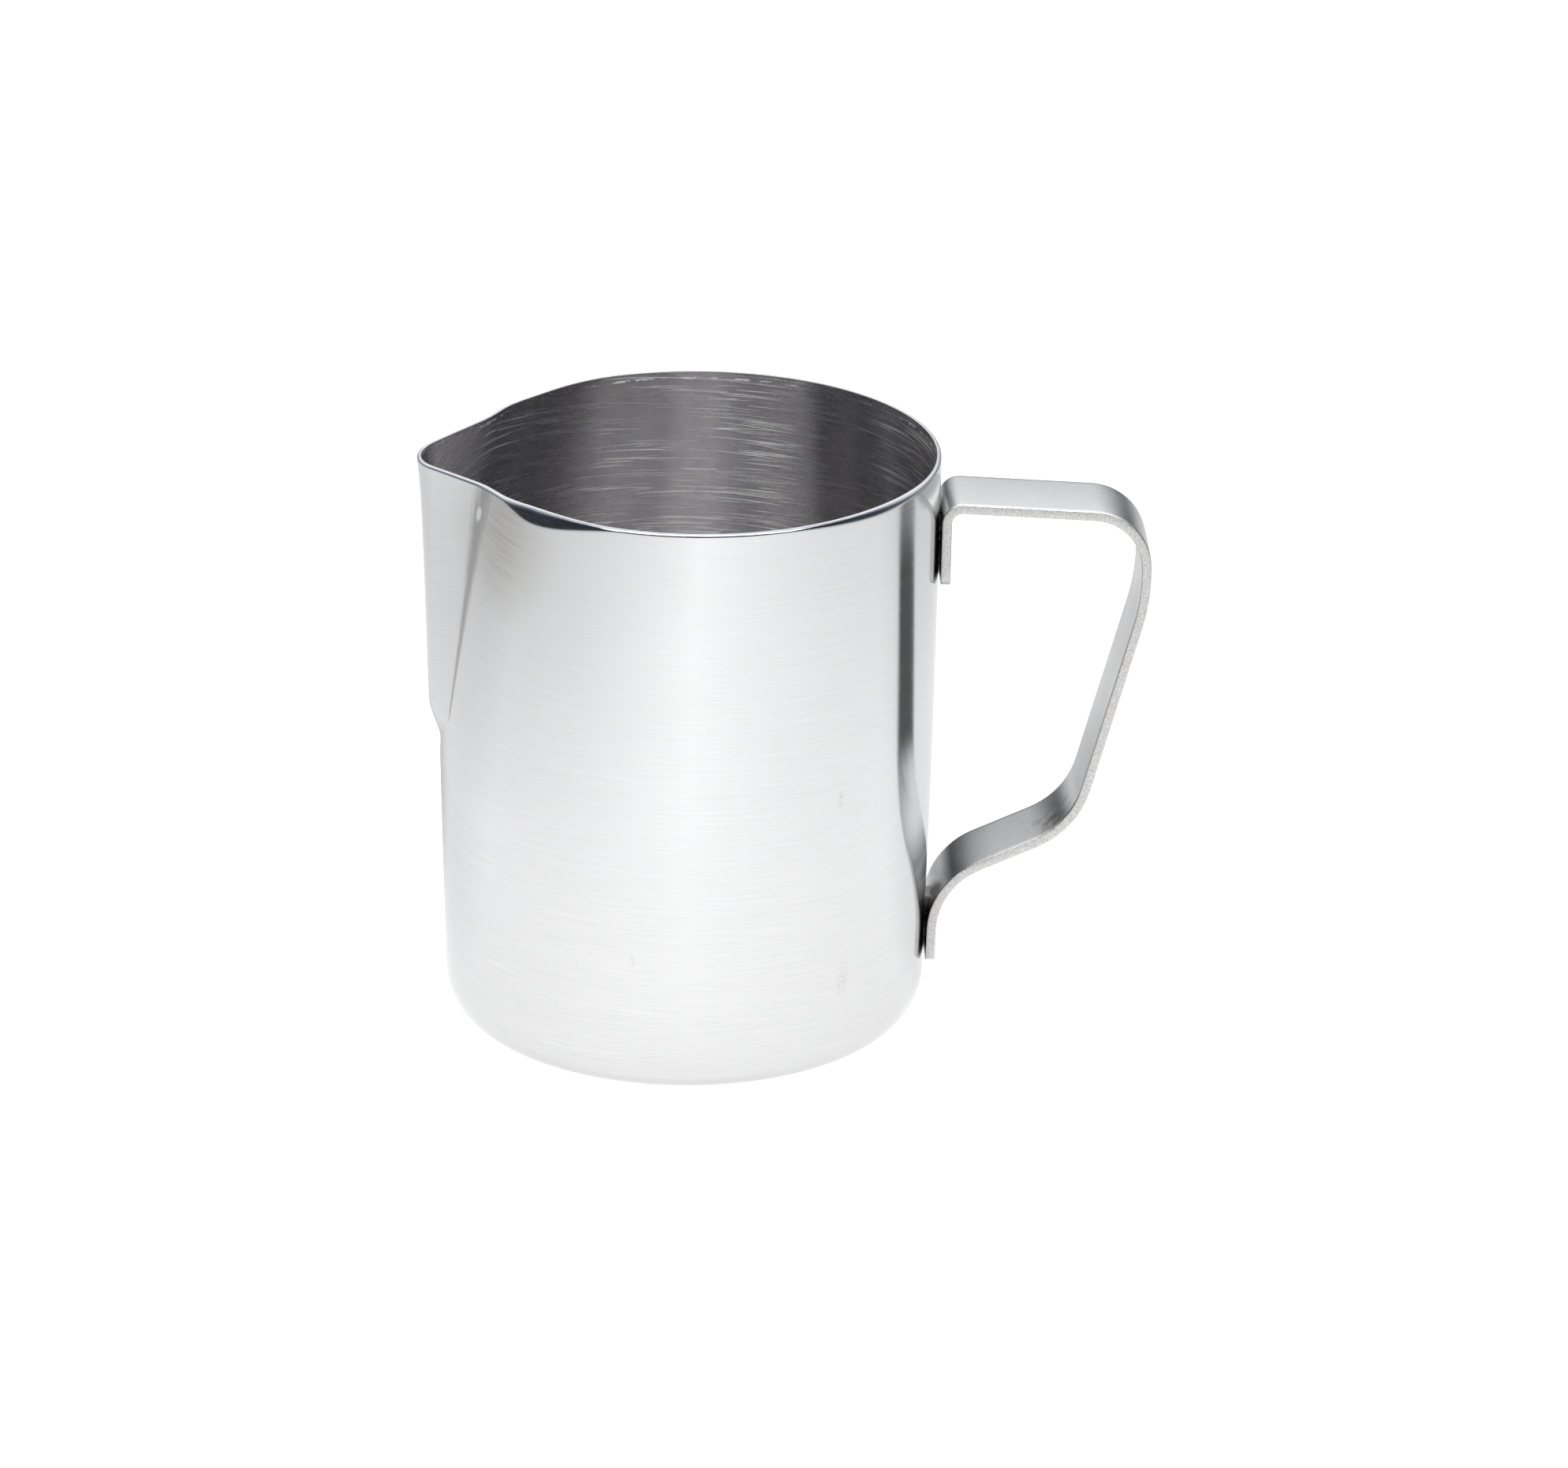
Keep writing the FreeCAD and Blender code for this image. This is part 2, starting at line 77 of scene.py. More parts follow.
SPOUT_FOOT = 50.0               # height at which the spout starts
SPOUT_START = 1.0               # and how much higher its ridge starts to come out
SPOUT_TUCK = 0.6                # how far the ridge lies inside the wall below that
SPOUT_RISE = 10.0               # height over which it comes out
SPOUT_REACH = 1.65              # how far it then stands out from the wall
SPOUT_FLARE = 1.05              # how much more at the rim, growing as FLARE_POWER
SPOUT_LIP = 0.7                 # the lip's last flick outwards, growing as LIP_POWER
FLARE_POWER = 1.2
LIP_POWER = 10
SPOUT_TIP_RADIUS = 11.0         # rounding of the ridge, seen from above
SPOUT_ANGLE_TOP = 50.0          # half of the V's angle at the rim
SPOUT_ANGLE_GAIN = 0.36         # and how much wider it is for each mm further down
SHOULDER_SQUEEZE = 4.7          # how far the flanks are drawn in at the rim
SHOULDER_ANGLE = 65.0           # angle from the handle at which that starts
SQUEEZE_POWER = 1.3
SHOULDER_CREST = 130.0          # angle of the shoulders beside the crease
SHOULDER_TO_SPOUT = 15.0        # how far round they reach towards the spout
SHOULDER_TO_WALL = 25.0         # and along the wall
CREASE_TOP = 1.2                # softness of the crease at the rim
CREASE_FOOT = 0.35              # and at its foot

STRIP_WIDTH = 16.0
STRIP_THICKNESS = 1.9
STRIP_EDGE = 0.28               # rounding of its long edges
STRIP_CROWN = 0.08              # how much thinner the strip is at its long edges, as a part
FOOT_CORNER = 1.6               # rounding of the strip's cut ends, seen flat on
FOOT_GAP = 0.03                 # between the feet and the wall
UPPER_FOOT_END = 84.9
UPPER_BEND = (99.75, 2.8)       # height and radius
TOP_BEND = (81.95, 97.8, 10.0)  # reach, height and radius
GRIP_BEND = (82.3, 82.3, 38.0)
LOW_BEND = (70.3, 38.4, 16.0)
LOWER_BEND = (27.1, 14.0)
LOWER_FOOT_END = 11.9
RUN_STEP = 2.5                  # distance between rings on the straight runs
BEND_STEP = 5.0                 # degrees between rings in the bends
SAME_PLACE = 0.02               # stops closer than this are one
LEAST_EDGE = 0.02               # rounding that is left right at the cut ends

# ---------------------------------------------------------------- marks (mm, degrees)
POLISH_STOP = 106.6             # height of the line where the polishing stopped
CREASE_FADE = (58.2, 63.5)      # heights between which the crease's dull line, darkened by painted shade, comes in
CREASE_HEIGHTS = (60.0, 106.0)  # heights between which it grows wider
DENT_HIGHLIGHT_PLACE = (-0.4, 102.2)            # painted highlight of a small dent: distance from the crease, and height
DENT_HIGHLIGHT_SIZE = (1.1, 1.9)
# painted reflection of darker surroundings on the skin beside the spout
DARK_REFLECTION_PLACE = (-36.0, -27.0, 101.0)
DARK_REFLECTION_REACH = (2.0, 19.0)        # distances between which the painted dark reflection fades out
STAIN_PLACE = (65.5, -4.0, 40.5)
STAIN_REACH = (1.5, 7.5)
SCUFFS = ((-53, 55, 3.0), (-51, 20, 6.0), (-103, 27, 1.8))  # outside: angle, height and reach
INSIDE_PAINTED_HIGHLIGHTS = ((137, 93, 3.8), (132, 100, 3.0))                  # inside: painted highlights beside the spout's fold
SPOT_SQUASH = 2.6               # how much narrower than tall those marks are


# ---------------------------------------------------------------- the body's shape
def wall_radius(z):
    """Outer radius of the round wall, which widens upwards with a slight bulge."""
    part = z / BODY_HEIGHT
    return BASE_RADIUS + (RIM_RADIUS - BASE_RADIUS) * part + 4 * WALL_BULGE * part * (1 - part)


def spout_part(z):
    """0 up to the spout's foot, rising to 1 at the rim."""
    return max(z - SPOUT_FOOT, 0.0) / (BODY_HEIGHT - SPOUT_FOOT)


def smooth_step(value):
    """Rises from 0 to 1 with level ends."""
    value = min(max(value, 0.0), 1.0)
    return value * value * (3 - 2 * value)


def drawn_in_wall(angle, z):
    """The round wall, its flanks drawn in beside the spout."""
    radius = wall_radius(z)
    squeeze = SHOULDER_SQUEEZE * spout_part(z) ** SQUEEZE_POWER
    start = radians(SHOULDER_ANGLE)
    if abs(angle) <= start:
        return radius
    along = squeeze * cos(abs(angle) - start)
    return along + sqrt((radius - squeeze) ** 2 - squeeze ** 2 + along ** 2)


def spout_nose(from_spout, z):
    """A V with a rounded ridge that leans out towards the rim."""
    part = spout_part(z)
    out = smooth_step((z - SPOUT_FOOT - SPOUT_START) / SPOUT_RISE)
    flare = SPOUT_FLARE * part ** FLARE_POWER + SPOUT_LIP * part ** LIP_POWER
    tip = wall_radius(z) - SPOUT_TUCK * (1 - out) + (SPOUT_REACH + flare) * out
    side = radians(SPOUT_ANGLE_TOP + SPOUT_ANGLE_GAIN * (BODY_HEIGHT - z))
    centre = tip - SPOUT_TIP_RADIUS
    nearest = pi / 2 - side
    ridge_end = asin(SPOUT_TIP_RADIUS * sin(nearest) / hypot(
        centre + SPOUT_TIP_RADIUS * cos(nearest), SPOUT_TIP_RADIUS * sin(nearest)))
    if from_spout <= ridge_end:
        return centre * cos(from_spout) + sqrt(SPOUT_TIP_RADIUS ** 2 - (centre * sin(from_spout)) ** 2)
    flat = centre * cos(nearest) + SPOUT_TIP_RADIUS
    if from_spout <= nearest:
        return flat / cos(nearest - from_spout)
    return flat * cos(min(from_spout - nearest, pi / 2))


def skin_radius(angle, z):
    """Outer radius of the body: the wall and the spout, with a soft crease between them."""
    wall = drawn_in_wall(angle, z)
    nose = spout_nose(pi - abs(angle), z)
    blend = CREASE_FOOT + (CREASE_TOP - CREASE_FOOT) * min(spout_part(z), 1.0)
    share = min(max(0.5 + 0.5 * (nose - wall) / blend, 0.0), 1.0)
    return wall + (nose - wall) * share + blend * share * (1 - share)


def crease_turn(z):
    """Angle from the spout's direction at which the spout meets the drawn-in wall."""
    low, high = 0.0, pi / 2
    for _ in range(24):
        middle = (low + high) / 2
        if spout_nose(middle, z) > drawn_in_wall(pi - middle, z):
            low = middle
        else:
            high = middle
    return low


def turned_in(angle, below):
    """How far the edge of the sheet leans in, at a distance below the rim."""
    part = max(turn_in_height(angle) - below, 0.0) / TURN_IN_START
    eased = part ** 3 - part ** 4 / 2 if part < 1 else part - 0.5
    return TURN_IN_SLOPE * TURN_IN_START * eased


def inward(angle, z):
    """How much polar radius one millimetre of sheet takes up."""
    turn = 1e-4
    slope = (skin_radius(angle + turn, z) - skin_radius(angle - turn, z)) / (2 * turn)
    return hypot(1, slope / skin_radius(angle, z))


def rim_height(angle):
    """The rim is level, and sinks in a shallow arc over the spout."""
    reach = RIM_RADIUS + SPOUT_REACH + SPOUT_FLARE + SPOUT_LIP - DIP_START
    radius = (reach ** 2 + RIM_DIP ** 2) / (2 * RIM_DIP)
    behind = -skin_radius(angle, BODY_HEIGHT) * cos(angle) - DIP_START
    return BODY_HEIGHT - (radius - sqrt(radius ** 2 - max(behind, 0.0) ** 2))


def shoulder_share(angle):
    """1 just past the crease, on the spout's shoulder, falling away on both sides of it."""
    before = (radians(SHOULDER_CREST + SHOULDER_TO_SPOUT) - abs(angle)) / radians(SHOULDER_TO_SPOUT)
    after = (abs(angle) - radians(SHOULDER_CREST - SHOULDER_TO_WALL)) / radians(SHOULDER_TO_WALL)
    return smooth_step(before) * smooth_step(after)


def turn_in_height(angle):
    """Height of the band under the rim that leans in: tallest on the spout's shoulders."""
    side = 1 - smooth_step(abs(angle - radians(SIDE_ANGLE)) / radians(SIDE_REACH))
    return TURN_IN_HEIGHT + TURN_IN_SHOULDER * shoulder_share(angle) + TURN_IN_SIDE * side


def roll_height(angle):
    """Height of the rounded outer edge of the rim."""
    return ROLL_HEIGHT + ROLL_SHOULDER * shoulder_share(angle)


def mesh_from(bm, name):
    mesh = bpy.data.meshes.new(name)
    bm.to_mesh(mesh)
    bm.free()
    return mesh


def spread(start, end, count):
    """count values from start to end, without the end."""
    return [start + (end - start) * i / count for i in range(count)]


def body_angles():
    """Angles of the columns, from the spout round to the handle and back, closer together at the spout."""
    half = spread(0, 36, 72) + spread(36, 180, 96)
    # the way back leaves out the ridge itself and the column next to it
    return [radians(180 - a) for a in half] + [0.0] + [radians(a - 180) for a in reversed(half[2:])]


def base_rows(lift, depth):
    """Radius and height of the rows from the middle of the base to the top of its rounded corner."""
    lean = atan(wall_radius(CORNER_RADIUS + 0.5) - wall_radius(CORNER_RADIUS - 0.5))
    corner = wall_radius(CORNER_RADIUS) - CORNER_RADIUS / cos(lean)
    radius = CORNER_RADIUS - depth
    slope_steps, corner_steps = 8, 16
    rows = [(r, PANEL_RISE + lift) for r in (6, 14, 21, 24.5)]
    for i in range(slope_steps + 1):
        t = i / slope_steps
        rows.append((PANEL_RADIUS - PANEL_EASE + (RING_INNER - PANEL_RADIUS + 2 * PANEL_EASE) * t,
                     PANEL_RISE * (1 - smooth_step(t)) + lift))
    rows += [(r, lift) for r in (30.5, 32.5)]
    for i in range(corner_steps + 1):
        turn = (pi / 2 - lean) * i / corner_steps
        rows.append((corner + radius * sin(turn), CORNER_RADIUS - radius * cos(turn)))
    return rows


def body_rows():
    """Rows of the closed skin, from the middle of the underside up the outside and down the inside.

    A row is (kind, first, second): base has a radius and a height, skin a depth below the outside
    and a height. The others lie at the rim, with a depth first: roll has its share of the way from
    ROLL_FOOT to the rim's rounding, outer its part of that rounding's height below the rim, and
    rim its distance below the rim.
    """
    lean = atan(wall_radius(CORNER_RADIUS + 0.5) - wall_radius(CORNER_RADIUS - 0.5))
    first_row = CORNER_RADIUS * (1 - sin(lean)) + 2.5
    spout_grown, below_band = 66, 99       # heights at which the rows' spacing changes
    wall = (spread(first_row, SPOUT_FOOT, 14) + spread(SPOUT_FOOT, spout_grown, 26)
            + spread(spout_grown, below_band, 24) + spread(below_band, ROLL_FOOT, 6))
    under_rim = spread(ROLL_FOOT, BODY_HEIGHT - RIM_INSIDE, 12)
    outside = [("base", r, z) for r, z in base_rows(0, 0)] + [("skin", 0.0, z) for z in wall]
    inside = [("base", r, z) for r, z in base_rows(SHEET, SHEET)]
    inside += [("skin", SHEET, z) for z in wall + under_rim]
    rim = [("roll", 0.0, share) for share in spread(0, 1, 14)]
    rim += [("outer", RIM_OUTSIDE * (1 - cos(turn)), 1 - sin(turn))
            for turn in (pi / 2 * i / 16 for i in range(17))]
    rim += [("rim", SHEET - RIM_INSIDE * (1 - cos(turn)), RIM_INSIDE * (1 - sin(turn)))
            for turn in (pi / 2 * (1 - i / 6) for i in range(7))]
    return outside, rim, inside


def row_place(row, angle, top):
    """Radius, height and depth of a row at an angle where the rim is at height top."""
    kind, depth, z = row
    follow = SPOUT_FOOT + 10.0             # above this height the rows follow the rim's dip
    if kind == "base":
        return depth, z, SHEET
    if kind == "roll":
        z = top - (BODY_HEIGHT - ROLL_FOOT) * (1 - z) - roll_height(angle) * z
    elif kind == "outer":
        z = top - z * roll_height(angle)
    elif kind == "rim":
        z = top - z
    elif z > follow:
        z = follow + (z - follow) * (top - follow) / (BODY_HEIGHT - follow)
    sunk = depth + turned_in(angle, top - z)
    return skin_radius(angle, z) - sunk * inward(angle, z), z, depth


def crease_distance(angle, r, z):
    """Distance along the skin from the crease: positive on the wall's side, and never very large."""
    away = (pi - abs(angle) - crease_turn(min(z, BODY_HEIGHT))) * r
    return max(min(away, FAR_FROM_CREASE), -FAR_FROM_CREASE)


def body_mesh():
    """The sheet's whole skin, with each outside point's distance from the crease."""
    outside, rim, inside = body_rows()
    angles = body_angles()
    tops = [rim_height(a) for a in angles]
    bm = bmesh.new()
    crease = bm.verts.layers.float.new("crease")
    grid = []
    for row in outside + rim + inside[::-1]:
        line = []
        for angle, top in zip(angles, tops):
            r, z, depth = row_place(row, angle, top)
            vertex = bm.verts.new((r * cos(angle) * MM, r * sin(angle) * MM, z * MM))
            near = depth < SHEET / 2 and z > SPOUT_FOOT + SPOUT_START
            vertex[crease] = crease_distance(angle, r, z) if near else FAR_FROM_CREASE
            line.append(vertex)
        grid.append(line)
    count = len(angles)
    first_rim, last_rim = len(outside) + EDGE_ROWS, len(outside) + len(rim) - 1

    def add_face(corners, slot):
        face = bm.faces.new(corners)
        face.smooth = True
        face.material_index = slot

    for i, (lower, upper) in enumerate(zip(grid, grid[1:])):
        slot = 0 if i < first_rim else 1 if i < last_rim else 2
        for j in range(count):
            k = (j + 1) % count
            add_face((lower[j], upper[j], upper[k], lower[k]), slot)
    for line, z, slot in ((grid[0], PANEL_RISE, 0), (grid[-1], PANEL_RISE + SHEET, 2)):
        middle = bm.verts.new((0, 0, z * MM))
        for j in range(count):
            add_face((middle, line[j], line[(j + 1) % count]), slot)
    bmesh.ops.recalc_face_normals(bm, faces=bm.faces)
    return mesh_from(bm, "pitcher_body_shell")


# ---------------------------------------------------------------- the handle's shape
def strip_corners():
    """Corners of the strip's centre line in the X Z plane, with their bend radii."""
    out = FOOT_GAP + STRIP_THICKNESS / 2

    def beside_wall(z, radius=0.0):
        return Vector((wall_radius(z) + out, z)), radius

    bends = [(Vector(place[:2]), place[2]) for place in (TOP_BEND, GRIP_BEND, LOW_BEND)]
    return [beside_wall(UPPER_FOOT_END), beside_wall(*UPPER_BEND), *bends,
            beside_wall(*LOWER_BEND), beside_wall(LOWER_FOOT_END)]


def strip_line():
    """Points and directions along the centre line: straight runs joined by bends."""
    corners = strip_corners()
    stops = []                             # (place, direction)

    def run(start, end):
        count = max(int((end - start).length / RUN_STEP), 1)
        direction = (end - start).normalized()
        for i in range(count + 1):
            stops.append((start.lerp(end, i / count), direction))

    at = corners[0][0]
    for (before, _), (corner, radius), (after, _) in zip(corners, corners[1:], corners[2:]):
        into, out = (corner - before).normalized(), (after - corner).normalized()
        cross = into.x * out.y - into.y * out.x
        turn = asin(min(max(cross, -1), 1)) if into.dot(out) > 0 else (
            pi - asin(cross) if cross > 0 else -pi - asin(cross))
        reach = radius * tan(abs(turn) / 2)
        start, end = corner - into * reach, corner + out * reach
        run(at, start)
        side = 1 if turn > 0 else -1
        centre = start + Vector((-into.y, into.x)) * radius * side
        steps = max(int(abs(turn) / radians(BEND_STEP)), 4)
        for i in range(1, steps):
            matrix = Matrix.Rotation(turn * i / steps, 2)
            stops.append((centre + matrix @ (start - centre), matrix @ into))
        at = end
    run(at, corners[-1][0])
    clean = []
    for place, direction in stops:
        if not clean or (place - clean[-1][0]).length > SAME_PLACE:
            clean.append((place, direction))
    return clean


def strip_outline(half_width, half_thickness, edge):
    """The strip's cross-section as (across, through) points, with rounded long edges."""
    points = []
    steps = 5                              # of each rounded edge
    for sx, sy, first in ((1, 1, 0), (-1, 1, 90), (-1, -1, 180), (1, -1, 270)):
        for i in range(steps + 1):
            turn = radians(first + 90 * i / steps)
            points.append((sx * (half_width - edge) + edge * cos(turn),
                           sy * (half_thickness - edge) + edge * sin(turn)))
        if first in (0, 180):              # across a wide face
            side = 1 if first == 0 else -1
            for share in (0.9, 0.6, 0.2, -0.2, -0.6, -0.9):
                points.append((side * share * (half_width - edge), side * half_thickness))
        else:
            side = -1 if first == 90 else 1
            points.append((side * half_width, 0.0))
    return points


def strip_stations(lengths):
    """Distances along the line for the rings: close together where the ends are rounded."""
    total = lengths[-1]
    ends = [FOOT_CORNER * (1 - cos(radians(a))) for a in range(15, 91, 15)]
    small = [STRIP_EDGE * (1 - cos(radians(a))) for a in (0, 22, 45, 67, 90)]
    near = sorted(set(round(s, 4) for s in ends + small))
    clear = near[-1] + 0.3
    return near + [s for s in lengths if clear < s < total - clear] + [total - s for s in reversed(near)]


def strip_section(end):
    """The strip's cross-section at a distance from its cut end, as (across, through) points."""
    shrink = STRIP_EDGE - sqrt(STRIP_EDGE ** 2 - max(STRIP_EDGE - end, 0.0) ** 2)
    narrow = FOOT_CORNER - sqrt(FOOT_CORNER ** 2 - max(FOOT_CORNER - end, 0.0) ** 2)
    outline = strip_outline(STRIP_WIDTH / 2 - max(narrow, shrink), STRIP_THICKNESS / 2 - shrink,
                            max(STRIP_EDGE - shrink, LEAST_EDGE))
    return [(across, through * (1 - STRIP_CROWN * (across / (STRIP_WIDTH / 2)) ** 2))
            for across, through in outline]


def handle_mesh():
    """The bent strip, with its inner face marked."""
    line = strip_line()
    lengths = [0.0]
    for (a, _), (b, _) in zip(line, line[1:]):
        lengths.append(lengths[-1] + (b - a).length)

    def at(distance):
        """Place and direction at a distance along the line."""
        for i in range(len(line) - 1):
            if lengths[i + 1] >= distance or i == len(line) - 2:
                share = (distance - lengths[i]) / (lengths[i + 1] - lengths[i])
                place = line[i][0].lerp(line[i + 1][0], share)
                return place, line[i][1].lerp(line[i + 1][1], share).normalized()

    bm = bmesh.new()
    inner = bm.verts.layers.float.new("inner")
    rings = []
    for s in strip_stations(lengths):
        place, direction = at(s)
        normal = Vector((-direction.y, direction.x))
        ring = []
        for across, through in strip_section(min(s, lengths[-1] - s)):
            x, z = place + normal * through
            vertex = bm.verts.new((x * MM, across * MM, z * MM))
            vertex[inner] = 1.0 if through < 0 else 0.0
            ring.append(vertex)
        rings.append(ring)
    count = len(rings[0])
    for a, b in zip(rings, rings[1:]):
        for j in range(count):
            k = (j + 1) % count
            bm.faces.new((a[j], a[k], b[k], b[j])).smooth = True
    for ring in (rings[0], rings[-1]):
        bm.faces.new(ring)
    bmesh.ops.recalc_face_normals(bm, faces=bm.faces)
    return mesh_from(bm, "handle_strip")


# ---------------------------------------------------------------- material helpers
class Tree:
    """The node tree of a new material or world, with short calls for its nodes."""

    def __init__(self, name, owners="materials"):
        self.owner = getattr(bpy.data, owners).new(name)
        self.owner.use_nodes = True
        self.tree = self.owner.node_tree
        self.tree.nodes.clear()

    def node(self, kind, inputs=None, **settings):
        node = self.tree.nodes.new(kind)
        for name, value in settings.items():
            setattr(node, name, value)
        for key, value in (inputs or {}).items():
            if isinstance(value, bpy.types.NodeSocket):
                self.tree.links.new(value, node.inputs[key])
            else:
                node.inputs[key].default_value = value
        return node

    def maths(self, operation, a, b=0.0, clamp=False):
        return self.node("ShaderNodeMath", {0: a, 1: b}, operation=operation, use_clamp=clamp).outputs[0]

    def vector(self, operation, a, b=(0, 0, 0)):
        node = self.node("ShaderNodeVectorMath", {0: a, 1: b}, operation=operation)
        return node.outputs["Value"] if operation in ("LENGTH", "DOT_PRODUCT") else node.outputs[0]

    def noise(self, vector, scale, detail, roughness):
        return self.node("ShaderNodeTexNoise", {
            "Vector": vector, "Scale": scale, "Detail": detail, "Roughness": roughness}).outputs["Fac"]

    def remap(self, value, low, high, to_low, to_high, smooth=False):
        return self.node("ShaderNodeMapRange", {
            "Value": value, "From Min": low, "From Max": high, "To Min": to_low, "To Max": to_high},
            interpolation_type="SMOOTHSTEP" if smooth else "LINEAR").outputs["Result"]

    def blend(self, share, a, b):
        """A number between two others."""
        return self.node("ShaderNodeMix", {0: share, 2: a, 3: b}, data_type="FLOAT").outputs[0]

    def mix(self, share, a, b):
        """A colour between two others."""
        node = self.node("ShaderNodeMix", data_type="RGBA")
        for index, value in ((0, share), (6, a), (7, b)):
            if isinstance(value, bpy.types.NodeSocket):
                self.tree.links.new(value, node.inputs[index])
            else:
                node.inputs[index].default_value = value if index == 0 else (*value, 1.0)
        return node.outputs[2]

    def place(self):
        """The point on the object, in metres."""
        return self.node("ShaderNodeTexCoord").outputs["Object"]

    def parts(self, vector):
        """X, Y and Z of a vector."""
        return self.node("ShaderNodeSeparateXYZ", {0: vector}).outputs

    def steel(self, colour, roughness, normal, brushing=None):
        """The material, finished as bare metal."""
        inputs = {"Base Color": colour, "Metallic": 1.0, "Roughness": roughness, "Normal": normal}
        inputs.update(brushing or {})
        return self.finish(self.node("ShaderNodeBsdfPrincipled", inputs).outputs[0])

    def bump(self, height, strength, distance):
        return self.node("ShaderNodeBump", {
            "Height": height, "Strength": strength, "Distance": distance}).outputs[0]

    def finish(self, shader, output="ShaderNodeOutputMaterial"):
        self.node(output, {"Surface": shader})
        return self.owner


def turned_place(t, along, across, lean=0.0):
    """Object place unrolled for turned marks: along the circumference, and across it.

    lean lifts the marks on one side of the axis and lowers them on the other, in metres.
    """
    axes = t.parts(t.place())
    flat = t.node("ShaderNodeCombineXYZ", {0: axes[0], 1: axes[1]}).outputs[0]
    ways = t.parts(t.vector("NORMALIZE", flat))
    tilted = t.maths("MULTIPLY", ways[0], lean)
    run = t.maths("ADD", t.maths("ADD", axes[2], t.vector("LENGTH", flat)), tilted)
    return t.node("ShaderNodeCombineXYZ", {
        0: t.maths("MULTIPLY", ways[0], along),
        1: t.maths("MULTIPLY", ways[1], along),
        2: t.maths("MULTIPLY", run, across)}).outputs[0]


def turned_tangent(t):
    """Direction of the brush marks: round the body's axis."""
    return t.vector("NORMALIZE", t.vector("CROSS_PRODUCT", (0, 0, 1), t.place()))


def long_scratches(t):
    """Mask of long single scratches, in sets that run round at slightly different leans."""
    sets = []
    for lean, along, across, low in ((0.0, 2.6, 5200.0, 0.70), (0.0016, 1.8, 4400.0, 0.715),
                                     (-0.0022, 3.0, 5800.0, 0.705)):
        thin = t.noise(turned_place(t, along, across, lean), 1.0, 0.0, 0.5)
        sets.append(t.remap(thin, low, low + 0.035, 0.0, 1.0, True))
    where = t.noise(turned_place(t, 2.5, 260.0), 1.0, 2.0, 0.5)
    return t.maths("MULTIPLY", t.maths("MAXIMUM", sets[0], t.maths("MAXIMUM", sets[1], sets[2])),
                   t.remap(where, 0.35, 0.65, 0.2, 1.0, True))


def polish_stop(t, height):
    """Mask of the broken line where the polishing stopped, just under the rim."""
    away = t.maths("ABSOLUTE", t.maths("SUBTRACT", height, POLISH_STOP * MM))
    broken = t.remap(t.noise(turned_place(t, 14.0, 900.0), 1.0, 3.0, 0.7), 0.5, 0.6, 0.0, 1.0, True)
    return t.maths("MULTIPLY", broken, t.remap(away, 0.0001, 0.00026, 1.0, 0.0))


def crease_line_with_painted_shade(t, height):
    """Masks of the painted shade and dull line along the fold between spout and wall, and of how high up it
    is.
    """
    away = t.node("ShaderNodeAttribute", attribute_name="crease").outputs["Fac"]
    low, high = CREASE_HEIGHTS
    part = t.remap(height, low * MM, high * MM, 0.0, 1.0)
    streaks = t.noise(t.vector("MULTIPLY", t.place(), (2600.0, 2600.0, 160.0)), 1.0, 2.0, 0.6)
    width = t.maths("ADD", 0.42, t.maths("MULTIPLY", t.maths("POWER", part, 1.5), 1.9))
    ragged = t.maths("MULTIPLY", t.maths("SUBTRACT", streaks, 0.5), t.maths("MULTIPLY", part, 2.2))
    loose = t.maths("ADD", t.maths("DIVIDE", t.maths("ABSOLUTE", away), width), ragged)
    start, full = CREASE_FADE
    fade = t.remap(height, start * MM, full * MM, 0.0, 0.75, True)
    return t.maths("MULTIPLY", t.remap(loose, 0.1, 1.7, 1.0, 0.0, True), fade), part


def painted_dent_highlight(t, height):
    """Mask of the painted highlight of a small dent at the top of the crease."""
    away = t.node("ShaderNodeAttribute", attribute_name="crease").outputs["Fac"]
    across = t.maths("DIVIDE", t.maths("SUBTRACT", away, DENT_HIGHLIGHT_PLACE[0]), DENT_HIGHLIGHT_SIZE[0])
    along = t.maths("DIVIDE", t.maths("SUBTRACT", height, DENT_HIGHLIGHT_PLACE[1] * MM), DENT_HIGHLIGHT_SIZE[1] * MM)
    squares = t.maths("ADD", t.maths("MULTIPLY", across, across), t.maths("MULTIPLY", along, along))
    return t.remap(t.maths("SQRT", squares), 0.4, 1.0, 1.0, 0.0, True)


def on_wall(angle, z, depth=0.0):
    """A place on the wall in metres, from its angle in degrees and its height and depth in mm."""
    turn = radians(angle)
    radius = skin_radius(turn, z) - depth
    return (radius * cos(turn) * MM, radius * sin(turn) * MM, z * MM)


def spot_marks(t, colour, spots, spot_colour, depth):
    """The colour with small speckled marks on it, lying at a depth below the outside."""
    specks = t.remap(t.noise(t.place(), 3000.0, 2.0, 0.7), 0.45, 0.65, 0.0, 1.0, True)
    for angle, z, reach in spots:
        away = t.vector("SUBTRACT", t.place(), on_wall(angle, z, depth))
        away = t.vector("LENGTH", t.vector("MULTIPLY", away, (SPOT_SQUASH, SPOT_SQUASH, 1.0)))
        near = t.remap(away, 0.0, reach * MM, 1.0, 0.0, True)
        colour = t.mix(t.maths("MULTIPLY", t.maths("MULTIPLY", near, specks), 0.4), colour, spot_colour)
    return colour


def around(t, centre, reach):
    """Mask that is 1 at a place given in mm and fades out between two distances from it."""
    away = t.vector("LENGTH", t.vector("SUBTRACT", t.place(), tuple(value * MM for value in centre)))
    return t.remap(away, reach[0] * MM, reach[1] * MM, 1.0, 0.0, True)


